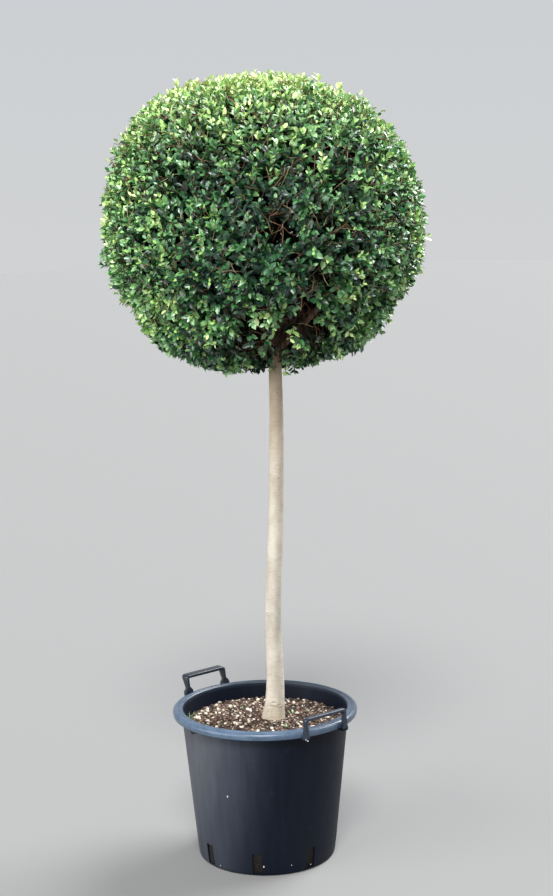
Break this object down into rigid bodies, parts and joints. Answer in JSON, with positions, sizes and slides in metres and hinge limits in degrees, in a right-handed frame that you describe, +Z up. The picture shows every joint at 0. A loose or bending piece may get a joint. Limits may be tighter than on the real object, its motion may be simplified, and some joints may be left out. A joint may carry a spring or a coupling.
{
  "type": "standard topiary in a nursery pot",
  "caption": "Clipped ball of small evergreen leaves on a bare slender stem, in a round black nursery pot with strap handles.",
  "frame": {"origin": "centre of the pot's flat underside, on the surface that the pot stands on", "axes": "+Z up; the drainage slots lie on the X and Y axes and between them; of the two handles, the lower one is 2 degrees from +X towards +Y, and the taller one, which leans out, is 4.5 degrees from -X towards -Y"},
  "size_m": [0.7117, 0.715, 1.7542],
  "materials": {
    "pot_plastic": "dark blue-black moulded plastic with a soft sheen and faint scuffs",
    "potting_soil": "moist bark and peat mix with white perlite",
    "stem_bark": "smooth pale bark with fine cross lines and small scars",
    "bough_bark": "brown bark",
    "foliage": "glossy small oval leaves, dark green with paler green tips"
  },
  "bodies": {
    "root": {"pot": "pot_plastic", "handle_front": "pot_plastic", "handle_rear": "pot_plastic", "soil": "potting_soil", "trunk": "stem_bark", "bough_1": "bough_bark", "bough_2": "bough_bark", "bough_3": "bough_bark", "bough_4": "bough_bark", "bough_5": "bough_bark", "bough_6": "bough_bark", "bough_7": "bough_bark", "crown_foliage": "foliage"}
  },
  "joints": []
}
